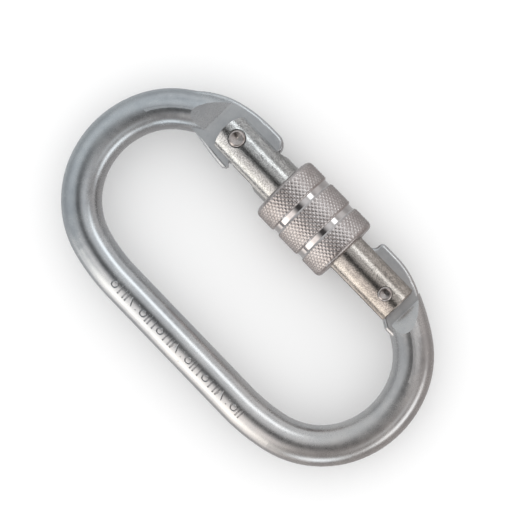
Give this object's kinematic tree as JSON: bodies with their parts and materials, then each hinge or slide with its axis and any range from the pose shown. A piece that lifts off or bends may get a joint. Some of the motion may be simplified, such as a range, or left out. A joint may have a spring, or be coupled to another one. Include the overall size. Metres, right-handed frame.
{
  "type": "screw gate carabiner",
  "caption": "Oval steel connector with a hinged spring gate and a knurled screw sleeve that locks it to the nose.",
  "frame": {"origin": "centre of the whole object's box, in the ring's middle plane", "axes": "+X from the hinge end to the nose end along the ring's length, +Y from the spine to the gate, +Z out of the ring's plane"},
  "size_m": [0.1082, 0.0592, 0.0184],
  "materials": {
    "forged_bar": "satin zinc plate over forged bar",
    "turned_gate": "bright zinc plate over a finely turned bar",
    "knurled_sleeve": "bright zinc plate over a diamond knurl",
    "rivet_steel": "peened and punched plain steel",
    "spring_wire": "oiled drawn wire"
  },
  "bodies": {
    "frame": {"frame": "forged_bar"},
    "gate": {"gate": "turned_gate", "hinge_rivet": "rivet_steel", "latch_pin": "rivet_steel", "gate_spring": "spring_wire"},
    "sleeve": {"lock_sleeve": "knurled_sleeve"},
    "plunger": {"spring_plunger": "rivet_steel"}
  },
  "joints": [
    {"name": "gate_swing", "type": "hinge", "parent": "frame", "child": "gate", "pos_m": [-0.0258, 0.02041, 0], "axis": [0, 0, -1], "range_deg": [0, 33], "stiffness_Nm_per_rad": 0.12, "springref_deg": -40.11},
    {"name": "sleeve_travel", "type": "slide", "parent": "gate", "child": "sleeve", "axis": [1, 0, 0], "range_m": [-0.006, 0.0043]},
    {"name": "plunger_travel", "type": "slide", "parent": "gate", "child": "plunger", "axis": [1, 0, 0], "range_m": [0, 0.00235], "deforming": ["gate_spring"]}
  ],
  "couplings": [
    {"joint": "plunger_travel", "follows": "gate_swing", "m_per_rad": 0.004}
  ]
}
